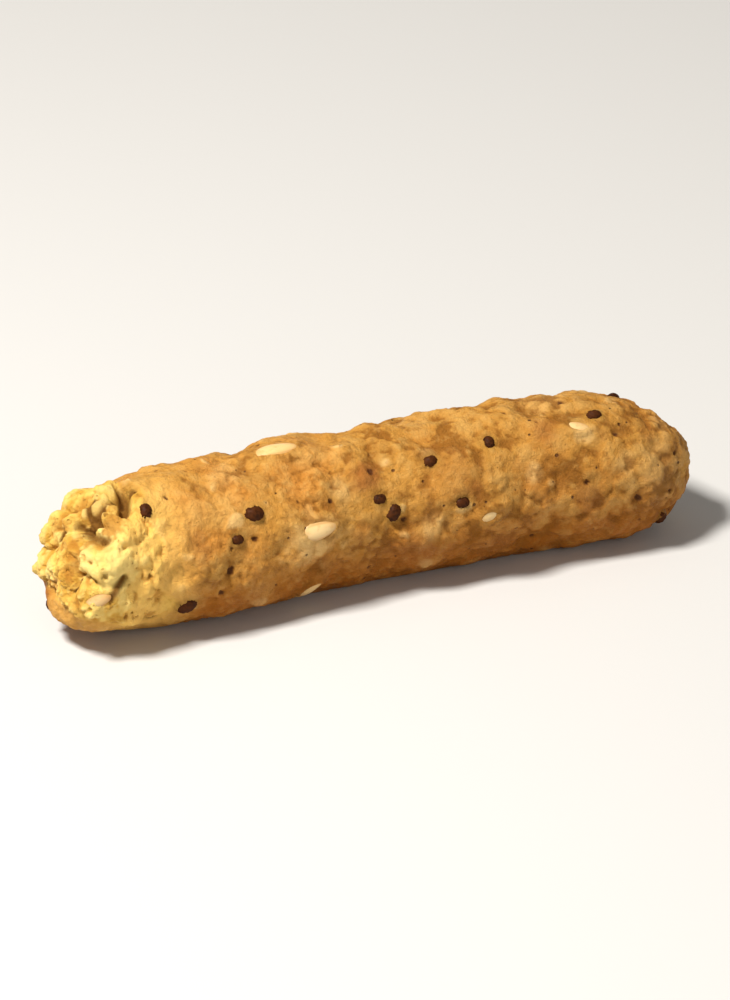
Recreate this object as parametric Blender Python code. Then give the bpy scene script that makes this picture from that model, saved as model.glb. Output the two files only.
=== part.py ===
"""A sesame stick: one short baton of fried seeded dough, lying on a narrow flat.

The stick runs along X with its torn end at -X. +Z is up, -Y is the front, and the origin is under the
middle of the stick, on the surface that it lies on. Lengths are in metres.
"""

from math import pi, radians

import bmesh
import bpy
import numpy as np
from mathutils import Matrix, Vector

MM = 0.001

# The smooth baton, before any relief.
LENGTH = 38.0 * MM
THICKNESS = 8.4 * MM
FLAT_DEPTH = 0.3 * MM  # how much of the round underside the flat takes away
TORN_CAP = 3.2 * MM  # length over which each end rounds off
WHOLE_CAP = 6.4 * MM
TORN_POWER = 2.6  # 2 is an ellipse, and more is squarer
WHOLE_POWER = 2.05
BOW_BACK = 1.0 * MM  # how far the middle stands behind a line through the ends
BOW_UP = 0.3 * MM
TURN = 0.6 * MM  # how far the whole tip turns to the front
TURN_RUN = 8.0 * MM
TORN_SLANT = 0.22  # the torn face leans back by this much for each unit of height
TORN_LIFT = 1.4 * MM  # how far the torn end's underside curves up
SWELLS = ((-10.0 * MM, 3.5 * MM, 0.05), (0.5 * MM, 4.0 * MM, -0.03), (8.0 * MM, 4.5 * MM, 0.02))
OFF_CENTRE = np.array([-0.24, 0.07, 0]) * MM  # from the baton's own middle to that of the finished stick

# Relief of the fried crust: the size of a lump, how high it stands (root mean square), and its draw.
LUMPS = ((9.0 * MM, 0.10 * MM, 3), (4.2 * MM, 0.10 * MM, 8), (2.1 * MM, 0.08 * MM, 5))
UNDERSIDE_LUMPS = 0.15  # the share of the relief that is left where the stick lies
WAVES = 32

# The torn end, which is bare crumb. The crust ends in a ragged edge, and the crumb stands in uneven
# lobes that meet in clefts. Each lobe is (x, angle from the top towards the front in degrees, distance
# at which it has dropped by LOBE_DROP, height of its top over the smooth baton), in millimetres.
TORN_REACH = 4.3 * MM  # from the tip to the crust's broken edge, on average
TORN_REACH_SWING = 0.9 * MM  # more on the front, and less at the back
TORN_REACH_AROUND = radians(70)
TORN_EDGE = 0.5 * MM  # width of the step from crust to crumb
TORN_RAGGED = 0.45 * MM
LIP_HEIGHT = 2.9 * MM  # at the tip the crust of the underside stands up this far, as a lip under the crumb
LIP_SLOPE = 0.35  # and it ends lower by this much for each unit of the way along
LOBE_DROP = 0.9 * MM
LOBE_WARP = 0.2 * MM  # how far the lobes are pulled out of round
CLEFT_FLOOR = -0.55 * MM
UNDER_RECESS = 0.3 * MM  # how much deeper the crumb has broken away on the underside
LOBES = (
    (-15.9, 345, 1.7, 0.20), (-16.9, 8, 1.5, -0.35), (-17.4, 332, 1.3, 0.10), (-18.4, 305, 1.5, 0.30),
    (-18.4, 355, 1.1, 0.15), (-16.0, 38, 1.3, 0.35), (-18.8, 35, 1.5, 0.35), (-17.8, 52, 1.9, 0.35),
    (-16.8, 66, 1.7, 0.20), (-14.9, 60, 1.9, 0.05), (-15.2, 88, 2.4, 0.05), (-18.2, 93, 1.3, 0.30),
    (-18.6, 125, 2.0, 0.15), (-16.2, 118, 2.2, 0.05), (-17.6, 165, 2.4, 0.30), (-15.6, 205, 2.4, 0.10),
    (-18.2, 220, 2.2, 0.25), (-16.2, 262, 2.4, 0.15), (-16.2, 305, 2.2, 0.15), (-18.9, 260, 2.0, 0.25),
    (-19.0, 0, 2.2, 0.20), (-14.6, 320, 2.0, 0.10), (-14.8, 20, 1.3, 0.05), (-14.0, 109, 2.0, 0.0),
)
# Clefts that cut between the lobes: depth and half width in millimetres, and the places that each runs
# through, as x in millimetres and the angle from the top towards the front.
CLEFTS = (
    (1.0, 0.36, ((-14.9, 350), (-15.1, 3), (-15.6, 20))),
    (0.7, 0.42, ((-18.4, 5), (-18.2, 26), (-17.4, 42))),
    (0.7, 0.30, ((-16.5, 74), (-16.9, 79), (-17.2, 88))),
    (0.5, 0.40, ((-18.8, 239), (-18.95, 186), (-18.9, 136), (-18.65, 123))),
    (0.7, 0.35, ((-14.9, 215), (-16.4, 232), (-17.8, 240))),
    (0.7, 0.35, ((-15.2, 300), (-16.8, 285), (-18.2, 285))),
)

# Mesh of the baton: quads along its side, and quads across each face of the box that it starts from.
# The quads on the side are shorter than the average by this share at the torn end.
SIDE_QUADS = 76
FACE_QUADS = 12
TORN_FINER = 0.35

# Seeds. Each spot is (x in millimetres, angle from the top towards the front in degrees, turn in
# degrees, size against the usual one).
SESAME_SIZE = (2.9 * MM, 1.65 * MM, 0.9 * MM)
SESAME_SPOTS = (
    (-5.4, 0, 4, 0.95), (-4.5, 74, 5, 0.75), (-4.8, 131, 60, 0.7), (11.4, 33, -15, 0.65),
    (5.9, 84, 20, 0.75), (-17.8, 90, 30, 0.6),
)
SESAME_DRAWN = (155, 300)  # the side on which the rest are drawn at random, in degrees from the top
SESAME_COUNT = 14
SESAME_APART = 4.8 * MM
SESAME_PROUD = 0.0 * MM  # from the crust up to the middle of the seed
SESAME_SIDES = (8, 5)

POPPY_SIZE = (1.1 * MM, 0.9 * MM, 0.8 * MM)
POPPY_SPOTS = (
    (-8.2, 51, 0, 1.1), (-12.5, 113, 30, 1.15), (0.0, 73, 60, 1.0), (-0.7, 60, 0, 0.75),
    (2.7, 38, 10, 0.8), (4.0, 74, 0, 0.8), (6.3, 32, 80, 0.8), (12.8, 22, 0, 0.85),
    (-14.4, 29, 80, 0.9), (15.1, 343, 40, 0.8), (-9.4, 67, 0, 0.7), (-18.5, 190, 0, 0.8),
)
POPPY_DRAWN = (140, 308)
POPPY_COUNT = 28
POPPY_APART = 2.5 * MM
POPPY_PROUD = -0.12 * MM
POPPY_SIDES = (6, 4)

SESAME_TAPER = 0.55
SEED_SMALLEST = 0.8  # against the usual size
SEED_LARGEST = 1.1
SEEDS_CLEAR_OF_FLAT = 1.3 * MM
SEEDS_CLEAR_OF_CRUMB = 5.5 * MM  # from the torn tip
SEEDS_TO = 0.94  # share of the way along the stick
SEED_DRAW = 44
SEED_DRAWS = 1500  # places tried for each kind of seed

CRUST_COLOUR = (0.60, 0.34, 0.11, 1.0)
CRUST_ROUGHNESS = 0.6


def ripple(points, size, draw):
    """Random relief with a root mean square of 1: the sum of plane waves of one length, whose
    directions and phases are drawn at random. It depends only on the point, so it has no seam."""
    random = np.random.default_rng(draw)
    directions = random.normal(size=(WAVES, 3))
    directions /= np.linalg.norm(directions, axis=1, keepdims=True)
    phases = random.uniform(0, 2 * pi, WAVES)
    return np.sin(points @ directions.T * (2 * pi / size) + phases).sum(axis=1) * (2 / WAVES) ** 0.5


def smooth_step(value, low, high):
    """0 below low, 1 above high, and an S-shaped rise between them."""
    share = np.clip((value - low) / (high - low), 0, 1)
    return share * share * (3 - 2 * share)


def half_section():
    """The baton's half section as columns: share of the arc length, x, radius, and the outward
    normal's x and radius. Two superellipse caps stand either side of a straight side."""
    turn = np.linspace(0, pi / 2, 240)
    torn_x = -LENGTH / 2 + TORN_CAP * (1 - np.cos(turn) ** (2 / TORN_POWER))
    torn_radius = np.sin(turn) ** (2 / TORN_POWER)
    whole_x = LENGTH / 2 - WHOLE_CAP * (1 - np.cos(turn) ** (2 / WHOLE_POWER))
    whole_radius = np.sin(turn) ** (2 / WHOLE_POWER)
    x = np.concatenate([torn_x, whole_x[::-1]])
    radius = np.concatenate([torn_radius, whole_radius[::-1]]) * THICKNESS / 2
    step_x = np.gradient(x)
    step_radius = np.gradient(radius)
    step = np.hypot(step_x, step_radius)
    arc = np.concatenate([[0], np.cumsum(np.hypot(np.diff(x), np.diff(radius)))])
    return arc / arc[-1], x, radius, -step_radius / step, step_x / step


SECTION = half_section()


def along_at(x):
    """The share of the arc length at which the straight or rounded side reaches x."""
    return float(np.interp(x, SECTION[1], SECTION[0]))


def underside(along, around):
    """1 where the stick lies, falling to 0 part of the way up its sides and at its tips."""
    radius = np.interp(along, SECTION[0], SECTION[2]) / (THICKNESS / 2)
    return smooth_step(-np.cos(around) * radius, 0.6, 0.95)


def smooth_baton(along, around):
    """Points of the smooth baton, and the directions in which relief stands out. along runs from 0 at
    the torn tip to 1 at the whole one, and around is the angle from the top towards the front."""
    arc, section_x, section_radius, section_lean, section_out = SECTION
    x = np.interp(along, arc, section_x)
    lean = np.interp(along, arc, section_lean)
    out = np.interp(along, arc, section_out)
    raised = 1 - underside(along, around)
    swell = sum(share * np.exp(-(((x - at) / width) ** 2)) for at, width, share in SWELLS)
    radius = np.interp(along, arc, section_radius) * (1 + swell * raised)
    bow = 1 - (x / (LENGTH / 2)) ** 2
    turn = TURN * (np.clip(x - LENGTH / 2 + TURN_RUN, 0, None) / TURN_RUN) ** 2
    y = BOW_BACK * (bow - 2 / 3) - turn - np.sin(around) * radius
    z = BOW_UP * bow * raised + np.cos(around) * radius
    torn_end = smooth_step(-x, LENGTH / 2 - 2 * TORN_CAP, LENGTH / 2)
    slant = TORN_SLANT * z * torn_end
    below = np.clip(-np.cos(around) * radius / (THICKNESS / 2), 0, 1)
    z = z + TORN_LIFT * below**2 * torn_end
    directions = np.stack([lean, -out * np.sin(around), out * np.cos(around)], axis=-1)
    return np.stack([x + slant, y, z + THICKNESS / 2 - FLAT_DEPTH], axis=-1), directions


def torn_share(points, around):
    """0 on the crust and 1 on the bare crumb, with a ragged edge between them."""
    reach = TORN_REACH + TORN_REACH_SWING * np.cos(around - TORN_REACH_AROUND)
    reach = reach + TORN_RAGGED * ripple(points, 3.4 * MM, 31)
    from_tip = points[..., 0] + LENGTH / 2
    over_lip = points[..., 2] - LIP_HEIGHT + LIP_SLOPE * from_tip
    broken = 1 - smooth_step(from_tip - reach, -TORN_EDGE / 2, TORN_EDGE / 2)
    return broken * smooth_step(over_lip, -TORN_EDGE / 2, TORN_EDGE / 2)


def lobes(points):
    """Height of the crumb: the highest of the lobes at each point, down to the clefts. A lobe drops with
    the cube of the distance from its middle, and the points are first shifted by a ripple along each
    axis, which pulls the lobes out of round."""
    shifts = [ripple(points, 2.4 * MM, draw) for draw in (51, 52, 53)]
    warped = points + LOBE_WARP * np.stack(shifts, axis=-1)
    height = np.full(len(points), CLEFT_FLOOR)
    for x, around, reach, top in LOBES:
        centre = smooth_baton(np.array([along_at(x * MM)]), np.radians([around]))[0][0]
        distance = np.linalg.norm(warped - centre, axis=-1)
        height = np.maximum(height, top * MM - LOBE_DROP * (distance / (reach * MM)) ** 3)
    return height


def clefts(points):
    """Depth of the clefts, which falls off like a bell with the distance from each cleft's line."""
    depth = np.zeros(len(points))
    for deepest, half_width, places in CLEFTS:
        along = np.array([along_at(x * MM) for x, _ in places])
        nodes = smooth_baton(along, np.radians([around for _, around in places]))[0]
        for start, end in zip(nodes[:-1], nodes[1:]):
            run = end - start
            share = np.clip((points - start) @ run / (run @ run), 0, 1)
            distance = np.linalg.norm(points - start - share[:, None] * run, axis=-1)
            depth = np.maximum(depth, deepest * MM * np.exp(-((distance / (half_width * MM)) ** 2)))
    return depth


def relief(points, along, around):
    """Height over the smooth baton: lumps of a few sizes on the crust, and lobes and clefts on the
    torn end."""
    under = underside(along, around)
    lumps = sum(height * ripple(points, size, draw) for size, height, draw in LUMPS)
    lumps = lumps * (1 - (1 - UNDERSIDE_LUMPS) * under)
    torn = torn_share(points, around)
    return lumps + torn * (lobes(points) - clefts(points) - UNDER_RECESS * under)


def crust_at(along, around):
    """Points of the finished crust, and the directions in which its relief stands out. The middle of
    the finished stick is over the origin."""
    points, directions = smooth_baton(along, around)
    height = relief(points, along, around)
    return points + directions * height[..., None] - OFF_CENTRE, directions


def mesh_object(name, bm, collection):
    """An object holding this bmesh, which it frees."""
    mesh = bpy.data.meshes.new(name)
    bm.to_mesh(mesh)
    bm.free()
    obj = bpy.data.objects.new(name, mesh)
    collection.objects.link(obj)
    return obj


def make_baton(collection):
    """A box divided into quads and bent round: its long sides become the stick's side, and its two ends
    the caps, so that no pole of thin triangles sits on a tip."""
    bm = bmesh.new()
    bmesh.ops.create_cube(bm, size=2)
    lengthwise = [e for e in bm.edges if abs(e.verts[0].co.x - e.verts[1].co.x) > 1]
    bmesh.ops.subdivide_edges(bm, edges=lengthwise, cuts=SIDE_QUADS - 1)
    crosswise = [e for e in bm.edges if abs(e.verts[0].co.x - e.verts[1].co.x) < 1e-6]
    bmesh.ops.subdivide_edges(bm, edges=crosswise, cuts=FACE_QUADS - 1, use_grid_fill=True)
    corners = np.array([v.co for v in bm.verts])
    across = np.abs(corners[:, 1:]).max(axis=1)  # 1 on the box's sides, less inside its end faces
    torn_rim = along_at(-LENGTH / 2 + TORN_CAP / 3)
    whole_rim = along_at(LENGTH / 2 - WHOLE_CAP / 3)
    share = (corners[:, 0] + 1) / 2
    share = share * (1 - TORN_FINER * (1 - share))
    on_side = torn_rim + (whole_rim - torn_rim) * share
    along = np.where(corners[:, 0] < 0, torn_rim * across, 1 - (1 - whole_rim) * across)
    along = np.where(across > 1 - 1e-5, on_side, along)
    # On each side of the box the quads take equal angles.
    steps = corners[:, 1:] / np.maximum(across, 1e-9)[:, None] * (pi / 4)
    upright = np.abs(corners[:, 1]) < np.abs(corners[:, 2])
    side_y = np.where(upright, np.tan(steps[:, 0]), np.sign(steps[:, 0]))
    side_z = np.where(upright, np.sign(steps[:, 1]), np.tan(steps[:, 1]))
    around = np.arctan2(-side_y, side_z)
    points, _ = crust_at(along, around)
    for vertex, point in zip(bm.verts, points):
        vertex.co = point
    bmesh.ops.recalc_face_normals(bm, faces=bm.faces)
    return mesh_object("sesame_stick", bm, collection)


def spread_spots(spots, drawn, count, apart, others, random):
    """Adds spots drawn at random to those given, up to count of them. A draw is kept where it lies on
    crust, and clear of the flat, of the spots so far and of the other seeds."""
    found = [(along_at(x * MM), radians(around), radians(turn), size) for x, around, turn, size in spots]
    taken = [(spot_point(*spot[:2]), apart) for spot in found]
    taken += [(spot_point(*spot[:2]), POPPY_APART) for spot in others]
    low = (0, radians(drawn[0]), 0, SEED_SMALLEST)
    high = (SEEDS_TO, radians(drawn[1]), pi, SEED_LARGEST)
    draws = random.uniform(low, high, (SEED_DRAWS, 4))
    for draw, point in zip(draws, smooth_baton(draws[:, 0], draws[:, 1])[0]):
        on_crust = point[2] > SEEDS_CLEAR_OF_FLAT and point[0] > SEEDS_CLEAR_OF_CRUMB - LENGTH / 2
        clear = all(np.linalg.norm(point - other) > distance for other, distance in taken)
        if on_crust and clear and len(found) < count:
            found.append(tuple(draw))
            taken.append((point, apart))
    return found


def spot_point(along, around):
    """The point of the smooth baton at a seed's spot."""
    return smooth_baton(np.array([along]), np.array([around]))[0][0]


def make_seed(name, size, sides, spot, proud, tapered, collection):
    """One seed, a small sphere flattened to the seed's three sizes and turned to lie on the crust. A
    tapered one is a sesame seed, which narrows to a point at one end."""
    along, around, turn, scale = spot
    bm = bmesh.new()
    bmesh.ops.create_uvsphere(bm, u_segments=sides[0], v_segments=sides[1], radius=0.5)
    bmesh.ops.rotate(bm, verts=bm.verts, matrix=Matrix.Rotation(pi / 2, 3, "Y"))
    for vertex in bm.verts:
        narrow = 1 - SESAME_TAPER * max(vertex.co.x, 0) if tapered else 1
        vertex.co.x *= size[0] * scale
        vertex.co.y *= size[1] * scale * narrow
        vertex.co.z *= size[2] * scale * narrow
    points, directions = crust_at(np.array([along]), np.array([around]))
    out = Vector(directions[0]).normalized()
    side = Vector((1, 0, 0)) if abs(out.x) < 0.9 else Vector((0, 1, 0))
    side = (side - out * side.dot(out)).normalized()
    frame = Matrix((side, out.cross(side), out)).transposed()
    obj = mesh_object(name, bm, collection)
    place = Matrix.Translation(Vector(points[0]) + out * proud)
    obj.matrix_world = place @ (frame @ Matrix.Rotation(turn, 3, "Z")).to_4x4()
    return obj


def make_seeds(collection):
    """All the seeds on the stick: the few large sesame seeds first, and then the poppy seeds between."""
    random = np.random.default_rng(SEED_DRAW)
    sesame = spread_spots(SESAME_SPOTS, SESAME_DRAWN, SESAME_COUNT, SESAME_APART, [], random)
    poppy = spread_spots(POPPY_SPOTS, POPPY_DRAWN, POPPY_COUNT, POPPY_APART, sesame, random)
    for i, spot in enumerate(sesame):
        make_seed(f"sesame_seed_{i}", SESAME_SIZE, SESAME_SIDES, spot, SESAME_PROUD, True, collection)
    for i, spot in enumerate(poppy):
        make_seed(f"poppy_seed_{i}", POPPY_SIZE, POPPY_SIDES, spot, POPPY_PROUD, False, collection)


def apply_boolean(obj, operation, **operand):
    """Joins or cuts obj with an object or a collection, and keeps the result as its mesh."""
    modifier = obj.modifiers.new(operation.lower(), "BOOLEAN")
    modifier.operation = operation
    modifier.solver = "EXACT"
    for name, value in operand.items():
        setattr(modifier, name, value)
    graph = bpy.context.evaluated_depsgraph_get()
    mesh = bpy.data.meshes.new_from_object(obj.evaluated_get(graph))
    obj.modifiers.clear()
    obj.data = mesh


def keep_largest_shell(obj):
    """Removes every shell but the largest: a hollow sealed under a seed, or a loose scrap."""
    bm = bmesh.new()
    bm.from_mesh(obj.data)
    shells = []
    unseen = set(bm.verts)
    while unseen:
        shell = set()
        reached = [unseen.pop()]
        while reached:
            vertex = reached.pop()
            shell.add(vertex)
            for edge in vertex.link_edges:
                other = edge.other_vert(vertex)
                if other in unseen:
                    unseen.discard(other)
                    reached.append(other)
        shells.append(shell)
    shells.sort(key=len)
    for shell in shells[:-1]:
        bmesh.ops.delete(bm, geom=list(shell), context="VERTS")
    bm.to_mesh(obj.data)
    bm.free()


def cut_flat(obj):
    """Cuts the narrow flat that the stick lies on, along the plane z = 0."""
    bpy.ops.mesh.primitive_cube_add(size=1)
    slab = bpy.context.object
    slab.name = "flat_cutter"
    slab.scale = (2 * LENGTH, 2 * LENGTH, LENGTH)
    slab.location = (0, 0, -LENGTH / 2)
    bpy.context.view_layer.update()
    apply_boolean(obj, "DIFFERENCE", object=slab)
    bpy.data.objects.remove(slab)


def crust_material():
    material = bpy.data.materials.new("crust")
    material.use_nodes = True
    shader = material.node_tree.nodes["Principled BSDF"]
    shader.inputs["Base Color"].default_value = CRUST_COLOUR
    shader.inputs["Roughness"].default_value = CRUST_ROUGHNESS
    shader.inputs["Metallic"].default_value = 0.0
    return material


def main():
    for obj in list(bpy.data.objects):
        bpy.data.objects.remove(obj)
    stick = bpy.data.collections.new("sesame stick")
    seeds = bpy.data.collections.new("seeds")
    bpy.context.scene.collection.children.link(stick)
    bpy.context.scene.collection.children.link(seeds)
    baton = make_baton(stick)
    cut_flat(baton)
    make_seeds(seeds)
    bpy.context.view_layer.update()
    apply_boolean(baton, "UNION", operand_type="COLLECTION", collection=seeds)
    for obj in list(seeds.objects):
        bpy.data.objects.remove(obj)
    bpy.data.collections.remove(seeds)
    keep_largest_shell(baton)
    baton.data.materials.clear()
    baton.data.materials.append(crust_material())
    baton.data.shade_smooth()
    baton.data.set_sharp_from_angle(angle=radians(50))


main()
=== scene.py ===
"""Looks of a sesame stick: the browned crust with its torn crumb, and the sesame and poppy seeds."""

from math import pi, radians

import bpy
import numpy as np
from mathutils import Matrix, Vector


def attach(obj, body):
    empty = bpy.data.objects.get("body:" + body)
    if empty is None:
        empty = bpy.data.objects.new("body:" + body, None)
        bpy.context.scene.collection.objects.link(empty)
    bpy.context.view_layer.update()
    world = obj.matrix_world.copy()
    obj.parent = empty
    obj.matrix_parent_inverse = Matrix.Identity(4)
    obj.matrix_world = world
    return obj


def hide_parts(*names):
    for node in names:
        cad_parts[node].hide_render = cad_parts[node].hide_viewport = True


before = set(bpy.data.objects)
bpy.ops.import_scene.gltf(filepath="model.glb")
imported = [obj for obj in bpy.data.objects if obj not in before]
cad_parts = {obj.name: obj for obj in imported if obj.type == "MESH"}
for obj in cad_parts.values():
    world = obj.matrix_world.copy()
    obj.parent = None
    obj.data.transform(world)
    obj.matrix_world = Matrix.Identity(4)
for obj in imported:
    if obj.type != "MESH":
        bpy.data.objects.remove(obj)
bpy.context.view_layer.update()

MM = 0.001


# The crust. A sesame stick is a rope of chickpea-yellow dough, rolled, cut and fried: its skin is
# browned, pebbly and pricked with tiny burst bubbles, and one end is torn open to the paler crumb.
# It is one closed surface, a function of the way along the stick and the way round it. Its large
# forms are those of the solid that it replaces, from the same named sizes, and the grain is added.
LENGTH = 38.0 * MM
THICKNESS = 8.4 * MM
FLAT_DEPTH = 0.3 * MM  # how much of the round underside the flat takes away
TORN_CAP = 3.2 * MM  # length over which each end rounds off
WHOLE_CAP = 6.4 * MM
TORN_POWER = 2.6  # 2 is an ellipse, and more is squarer
WHOLE_POWER = 2.05
CAP_POINTS = 240  # of the half section, on each end's cap
BOW_BACK = 1.0 * MM  # how far the middle stands behind a line through the ends
BOW_UP = 0.3 * MM
BOW_MEAN = 2 / 3  # mean of the bow's parabola, which is 0 at the ends and 1 in the middle
TURN = 0.6 * MM  # how far the whole tip turns to the front
TURN_RUN = 8.0 * MM
TORN_SLANT = 0.22  # the torn face leans back by this much for each unit of height
TORN_LIFT = 1.4 * MM  # how far the torn end's underside curves up
OFF_CENTRE = np.array([-0.24, 0.07, 0]) * MM  # from the baton's own middle to that of the finished stick

# Where the stick is thicker or thinner: x, the reach along it, and the share of its radius.
SWELLS = ((-10.0 * MM, 3.5 * MM, 0.05), (0.5 * MM, 4.0 * MM, -0.03), (8.0 * MM, 4.5 * MM, 0.02))

# Lumps of the crust: size, height (root mean square) and draw.
LUMPS = ((9.0 * MM, 0.10 * MM, 3), (4.2 * MM, 0.10 * MM, 8), (2.1 * MM, 0.08 * MM, 5))
UNDERSIDE_LUMPS = 0.15  # the share of the relief that is left where the stick lies
WAVES = 32  # plane waves in each ripple

# The torn end, which is bare crumb. The crust ends in a ragged edge, and the crumb stands in uneven
# lobes that meet in clefts. Each lobe is (x, angle from the top towards the front in degrees, distance
# at which it has dropped by LOBE_DROP, height of its top over the smooth baton), in millimetres.
TORN_REACH = 4.3 * MM  # from the tip to the crust's broken edge, on average
TORN_REACH_SWING = 0.9 * MM  # more on the front, and less at the back
TORN_REACH_AROUND = radians(70)
TORN_EDGE = 0.5 * MM  # width of the step from crust to crumb
TORN_RAGGED = 0.45 * MM  # how far that edge swings to and fro
TORN_RAGGED_SIZE = 3.4 * MM
LIP_HEIGHT = 2.9 * MM  # at the tip the crust of the underside stands up this far, as a lip
LIP_SLOPE = 0.35  # and it ends lower by this much for each unit of the way along
LOBE_DROP = 0.9 * MM
LOBE_WARP = 0.2 * MM  # how far the lobes are pulled out of round
LOBE_WARP_SIZE = 2.4 * MM
CLEFT_FLOOR = -0.55 * MM
UNDER_RECESS = 0.3 * MM  # how much deeper the crumb has broken away on the underside
LOBES = (
    (-15.9, 345, 1.7, 0.20), (-16.9, 8, 1.5, -0.35), (-17.4, 332, 1.3, 0.10), (-18.4, 305, 1.5, 0.30),
    (-18.4, 355, 1.1, 0.15), (-16.0, 38, 1.3, 0.35), (-18.8, 35, 1.5, 0.35), (-17.8, 52, 1.9, 0.35),
    (-16.8, 66, 1.7, 0.20), (-14.9, 60, 1.9, 0.05), (-15.2, 88, 2.4, 0.05), (-18.2, 93, 1.3, 0.30),
    (-18.6, 125, 2.0, 0.15), (-16.2, 118, 2.2, 0.05), (-17.6, 165, 2.4, 0.30), (-15.6, 205, 2.4, 0.10),
    (-18.2, 220, 2.2, 0.25), (-16.2, 262, 2.4, 0.15), (-16.2, 305, 2.2, 0.15), (-18.9, 260, 2.0, 0.25),
    (-19.0, 0, 2.2, 0.20), (-14.6, 320, 2.0, 0.10), (-14.8, 20, 1.3, 0.05), (-14.0, 109, 2.0, 0.0),
)
# Clefts that cut between the lobes: depth and half width in millimetres, and the places that each runs
# through, as x in millimetres and the angle from the top towards the front.
CLEFTS = (
    (1.0, 0.36, ((-14.9, 350), (-15.1, 3), (-15.6, 20))),
    (0.7, 0.42, ((-18.4, 5), (-18.2, 26), (-17.4, 42))),
    (0.7, 0.30, ((-16.5, 74), (-16.9, 79), (-17.2, 88))),
    (0.5, 0.40, ((-18.8, 239), (-18.95, 186), (-18.9, 136), (-18.65, 123))),
    (0.7, 0.35, ((-14.9, 215), (-16.4, 232), (-17.8, 240))),
    (0.7, 0.35, ((-15.2, 300), (-16.8, 285), (-18.2, 285))),
)

# Seeds. Each spot is (x in millimetres, angle from the top towards the front and turn in degrees, size
# against the usual one). The others are drawn at random between two angles, low down and at the back,
# up to a count.
SESAME_SIZE = (2.9 * MM, 1.65 * MM, 0.9 * MM)
SESAME_SPOTS = (
    (-5.4, 0, 4, 0.95), (-4.5, 74, 5, 0.75), (-4.8, 131, 60, 0.7), (11.4, 33, -15, 0.65),
    (5.9, 84, 20, 0.75), (-17.8, 90, 30, 0.6),
)
SESAME_DRAWN = (155, 300)
SESAME_COUNT = 14
SESAME_APART = 4.8 * MM
SESAME_PROUD = 0.0 * MM  # how far a seed's middle stands out of the crust
POPPY_SIZE = (1.1 * MM, 0.9 * MM, 0.8 * MM)
POPPY_SPOTS = (
    (-8.2, 51, 0, 1.1), (-12.5, 113, 30, 1.15), (0.0, 73, 60, 1.0), (-0.7, 60, 0, 0.75),
    (2.7, 38, 10, 0.8), (4.0, 74, 0, 0.8), (6.3, 32, 80, 0.8), (12.8, 22, 0, 0.85),
    (-14.4, 29, 80, 0.9), (15.1, 343, 40, 0.8), (-9.4, 67, 0, 0.7), (-18.5, 190, 0, 0.8),
)
POPPY_DRAWN = (140, 308)
POPPY_COUNT = 28
POPPY_APART = 2.5 * MM
POPPY_PROUD = -0.12 * MM
SEED_SMALLEST = 0.8
SEED_LARGEST = 1.1
SEEDS_CLEAR_OF_FLAT = 1.3 * MM
SEEDS_CLEAR_OF_CRUMB = 5.5 * MM
SEEDS_TO = 0.94  # share of the way along the stick
SEED_DRAW = 44
SEED_DRAWS = 1500  # places tried for each kind of seed

# The surface's grid, and how much finer than the average it is at the torn end.
ROWS = 430
COLUMNS = 224
TORN_FINER = 0.45
LATTICE = 48  # cells along each side of a noise's block, which then repeats
BLOCK = (LATTICE, LATTICE, LATTICE)


def ripple(points, size, draw):
    """Random relief with a root mean square of 1: the sum of plane waves of one length, whose
    directions and phases are drawn at random. It depends only on the point, so it has no seam."""
    random = np.random.default_rng(draw)
    directions = random.normal(size=(WAVES, 3))
    directions /= np.linalg.norm(directions, axis=1, keepdims=True)
    phases = random.uniform(0, 2 * pi, WAVES)
    return np.sin(points @ directions.T * (2 * pi / size) + phases).sum(axis=1) * (2 / WAVES) ** 0.5


def straight_step(value, low, high):
    """0 below low, 1 above high, and a straight rise between them."""
    return np.clip((value - low) / (high - low), 0, 1)


def smooth_step(value, low, high):
    """0 below low, 1 above high, and an S-shaped rise between them."""
    share = straight_step(value, low, high)
    return share * share * (3 - 2 * share)


def half_section():
    """The baton's half section as columns: share of the arc length, x, radius, and the outward
    normal's x and radius. Two superellipse caps stand either side of a straight side."""
    turn = np.linspace(0, pi / 2, CAP_POINTS)
    torn_x = -LENGTH / 2 + TORN_CAP * (1 - np.cos(turn) ** (2 / TORN_POWER))
    torn_radius = np.sin(turn) ** (2 / TORN_POWER)
    whole_x = LENGTH / 2 - WHOLE_CAP * (1 - np.cos(turn) ** (2 / WHOLE_POWER))
    whole_radius = np.sin(turn) ** (2 / WHOLE_POWER)
    x = np.concatenate([torn_x, whole_x[::-1]])
    radius = np.concatenate([torn_radius, whole_radius[::-1]]) * THICKNESS / 2
    step_x = np.gradient(x)
    step_radius = np.gradient(radius)
    step = np.hypot(step_x, step_radius)
    arc = np.concatenate([[0], np.cumsum(np.hypot(np.diff(x), np.diff(radius)))])
    return arc / arc[-1], x, radius, -step_radius / step, step_x / step


SECTION = half_section()


def along_at(x):
    """The share of the arc length at which the straight or rounded side reaches x."""
    return float(np.interp(x, SECTION[1], SECTION[0]))


def underside(along, around, begins=0.6, ends=0.95):
    """1 where the stick lies, falling to 0 part of the way up its sides and at its tips. begins and ends
    are shares of the way down from its axis."""
    radius = np.interp(along, SECTION[0], SECTION[2]) / (THICKNESS / 2)
    return smooth_step(-np.cos(around) * radius, begins, ends)


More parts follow.
